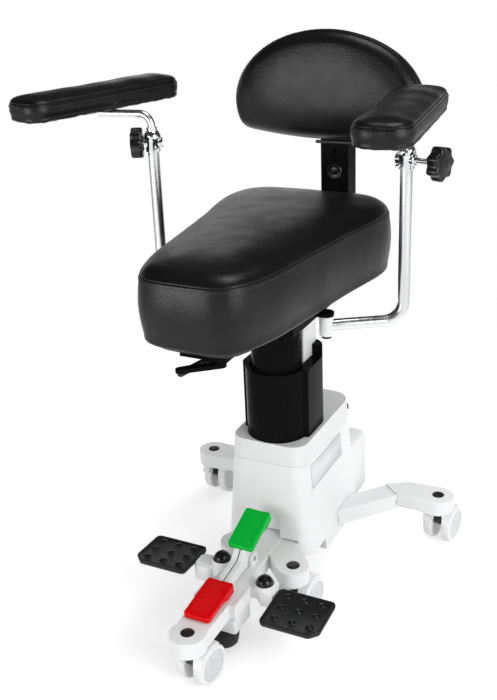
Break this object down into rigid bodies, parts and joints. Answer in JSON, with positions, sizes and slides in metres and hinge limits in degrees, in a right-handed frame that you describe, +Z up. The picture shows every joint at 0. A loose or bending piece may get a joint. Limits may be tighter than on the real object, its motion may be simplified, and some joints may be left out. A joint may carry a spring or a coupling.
{
  "type": "surgeon stool",
  "caption": "Surgeon stool on twin casters with a lifting column, wedge-shaped padded seat, round backrest, swinging padded arms, foot brake and height pedals.",
  "frame": {"origin": "on the floor under the lift column's axis", "axes": "+Z up, -Y towards the front leg with the brake, +X towards the right side of the picture"},
  "size_m": [0.7642, 0.795, 1.045],
  "materials": {
    "white_enamel": "smooth satin white powder coat",
    "white_plastic": "moulded satin white",
    "pale_grey_plastic": "moulded fine matt",
    "black_metal": "gloss black coat",
    "black_plastic": "moulded satin black",
    "black_rubber": "matt moulded rubber",
    "black_leather": "fine grain soft sheen upholstery",
    "plywood": "dark stained board",
    "chrome": "polished",
    "steel": "brushed",
    "red_plastic": "moulded gloss red",
    "green_plastic": "moulded gloss green"
  },
  "bodies": {
    "base": {"base_casting": "white_enamel", "front_arm": "white_enamel", "brake_block": "white_enamel", "housing_shell": "white_plastic", "rear_cover": "white_plastic", "label_plate": "white_plastic", "rail_left": "white_enamel", "rail_right": "white_enamel", "head_left": "white_enamel", "head_right": "white_enamel", "pedal_post_left": "white_enamel", "pedal_post_right": "white_enamel", "collar_cap": "pale_grey_plastic", "charge_socket": "black_plastic", "outer_sleeve": "black_metal", "lift_actuator": "steel", "battery_pack": "black_plastic", "rocker_pin": "steel", "pedal_dome_left": "black_plastic", "pedal_dome_right": "black_plastic"},
    "lift": {"inner_tube": "black_metal", "guide_profile": "white_enamel", "seat_mechanism": "black_metal", "seat_board": "plywood", "seat_cushion": "black_leather", "back_bracket": "black_metal", "arm_bracket_left": "black_metal", "arm_bracket_right": "black_metal"},
    "seat_lever": {"seat_lever": "black_metal"},
    "back_bar": {"back_bar": "black_metal"},
    "backrest": {"back_shell": "black_plastic", "back_pad": "black_leather"},
    "back_knob": {"back_knob": "black_plastic"},
    "rocker": {"rocker_lever": "white_enamel", "red_pedal": "red_plastic", "green_pedal": "green_plastic"},
    "brake_foot": {"brake_foot": "black_rubber"},
    "caster_front": {"caster_front_fork": "white_plastic"},
    "wheels_front": {"caster_front_wheels": "white_plastic"},
    "caster_front_right": {"caster_front_right_fork": "white_plastic"},
    "wheels_front_right": {"caster_front_right_wheels": "white_plastic"},
    "caster_front_left": {"caster_front_left_fork": "white_plastic"},
    "wheels_front_left": {"caster_front_left_wheels": "white_plastic"},
    "caster_rear_right": {"caster_rear_right_fork": "white_plastic"},
    "wheels_rear_right": {"caster_rear_right_wheels": "white_plastic"},
    "caster_rear_left": {"caster_rear_left_fork": "white_plastic"},
    "wheels_rear_left": {"caster_rear_left_wheels": "white_plastic"},
    "arm_right": {"arm_post_right": "chrome", "post_clamp_right": "chrome"},
    "pad_right": {"pad_rod_right": "chrome", "arm_pad_right": "black_leather"},
    "clamp_knob_right": {"clamp_knob_right": "black_plastic"},
    "foot_pedal_right": {"foot_pedal_right": "black_plastic"},
    "arm_left": {"arm_post_left": "chrome", "post_clamp_left": "chrome"},
    "pad_left": {"pad_rod_left": "chrome", "arm_pad_left": "black_leather"},
    "clamp_knob_left": {"clamp_knob_left": "black_plastic"},
    "foot_pedal_left": {"foot_pedal_left": "black_plastic"}
  },
  "joints": [
    {"name": "caster_front_swivel", "type": "hinge", "parent": "base", "child": "caster_front", "pos_m": [0, -0.39, 0.085], "axis": [0, 0, 1], "continuous": true},
    {"name": "wheels_front_spin", "type": "hinge", "parent": "caster_front", "child": "wheels_front", "pos_m": [0.00417, -0.36029, 0.0375], "axis": [0.9903, -0.1392, 0], "continuous": true},
    {"name": "caster_front_right_swivel", "type": "hinge", "parent": "base", "child": "caster_front_right", "pos_m": [0.087, -0.139, 0.085], "axis": [0, 0, 1], "continuous": true},
    {"name": "wheels_front_right_spin", "type": "hinge", "parent": "caster_front_right", "child": "wheels_front_right", "pos_m": [0.09118, -0.10929, 0.0375], "axis": [0.9903, -0.1392, 0], "continuous": true},
    {"name": "caster_front_left_swivel", "type": "hinge", "parent": "base", "child": "caster_front_left", "pos_m": [-0.05, -0.106, 0.085], "axis": [0, 0, 1], "continuous": true},
    {"name": "wheels_front_left_spin", "type": "hinge", "parent": "caster_front_left", "child": "wheels_front_left", "pos_m": [-0.04582, -0.07629, 0.0375], "axis": [0.9903, -0.1392, 0], "continuous": true},
    {"name": "caster_rear_right_swivel", "type": "hinge", "parent": "base", "child": "caster_rear_right", "pos_m": [0.265, 0.206, 0.085], "axis": [0, 0, 1], "continuous": true},
    {"name": "wheels_rear_right_spin", "type": "hinge", "parent": "caster_rear_right", "child": "wheels_rear_right", "pos_m": [0.26917, 0.23571, 0.0375], "axis": [0.9903, -0.1392, 0], "continuous": true},
    {"name": "caster_rear_left_swivel", "type": "hinge", "parent": "base", "child": "caster_rear_left", "pos_m": [-0.265, 0.206, 0.085], "axis": [0, 0, 1], "continuous": true},
    {"name": "wheels_rear_left_spin", "type": "hinge", "parent": "caster_rear_left", "child": "wheels_rear_left", "pos_m": [-0.26082, 0.23571, 0.0375], "axis": [0.9903, -0.1392, 0], "continuous": true},
    {"name": "lift_slide", "type": "slide", "parent": "base", "child": "lift", "axis": [0, 0, 1], "range_m": [-0.08, 0.08]},
    {"name": "seat_lever_swing", "type": "hinge", "parent": "lift", "child": "seat_lever", "pos_m": [0.036, -0.285, 0.58], "axis": [0, 0, 1], "range_deg": [-12, 12], "stiffness_Nm_per_rad": 0.4},
    {"name": "back_bar_slide", "type": "slide", "parent": "lift", "child": "back_bar", "axis": [0, 0, 1], "range_m": [-0.02, 0.06]},
    {"name": "backrest_tilt", "type": "hinge", "parent": "back_bar", "child": "backrest", "pos_m": [0, 0.322, 0.875], "axis": [1, 0, 0], "range_deg": [-6, 8]},
    {"name": "back_knob_turn", "type": "hinge", "parent": "lift", "child": "back_knob", "pos_m": [0, 0.36275, 0.65], "axis": [0, 1, 0], "continuous": true},
    {"name": "arm_right_swing", "type": "hinge", "parent": "lift", "child": "arm_right", "pos_m": [0.128, -0.062, 0.58], "axis": [0, 0, 1], "range_deg": [-40, 5]},
    {"name": "pad_right_turn", "type": "hinge", "parent": "arm_right", "child": "pad_right", "pos_m": [0.244, 0.01, 0.867], "axis": [0, 0, 1], "range_deg": [-30, 5]},
    {"name": "clamp_knob_right_turn", "type": "hinge", "parent": "arm_right", "child": "clamp_knob_right", "pos_m": [0.30466, -0.00625, 0.864], "axis": [0.9659, -0.2588, 0], "continuous": true},
    {"name": "arm_left_swing", "type": "hinge", "parent": "lift", "child": "arm_left", "pos_m": [-0.128, -0.062, 0.58], "axis": [0, 0, -1], "range_deg": [-40, 5]},
    {"name": "pad_left_turn", "type": "hinge", "parent": "arm_left", "child": "pad_left", "pos_m": [-0.244, 0.01, 0.867], "axis": [0, 0, -1], "range_deg": [-30, 5]},
    {"name": "clamp_knob_left_turn", "type": "hinge", "parent": "arm_left", "child": "clamp_knob_left", "pos_m": [-0.27004, -0.00298, 0.864], "axis": [-0.8949, -0.4462, 0], "continuous": true},
    {"name": "foot_pedal_right_rock", "type": "hinge", "parent": "base", "child": "foot_pedal_right", "pos_m": [0.146, -0.222, 0.098], "axis": [1, 0, 0], "range_deg": [-6, 6], "stiffness_Nm_per_rad": 6},
    {"name": "foot_pedal_left_rock", "type": "hinge", "parent": "base", "child": "foot_pedal_left", "pos_m": [-0.147, -0.19, 0.106], "axis": [1, 0, 0], "range_deg": [-6, 6], "stiffness_Nm_per_rad": 6},
    {"name": "brake_rocker", "type": "hinge", "parent": "base", "child": "rocker", "pos_m": [0, -0.165, 0.13], "axis": [-1, 0, 0], "range_deg": [0, 8]},
    {"name": "brake_foot_slide", "type": "slide", "parent": "base", "child": "brake_foot", "axis": [0, 0, 1], "range_m": [0, 0.0082]}
  ],
  "couplings": [
    {"joint": "brake_foot_slide", "follows": "brake_rocker", "m_per_rad": 0.0573}
  ]
}
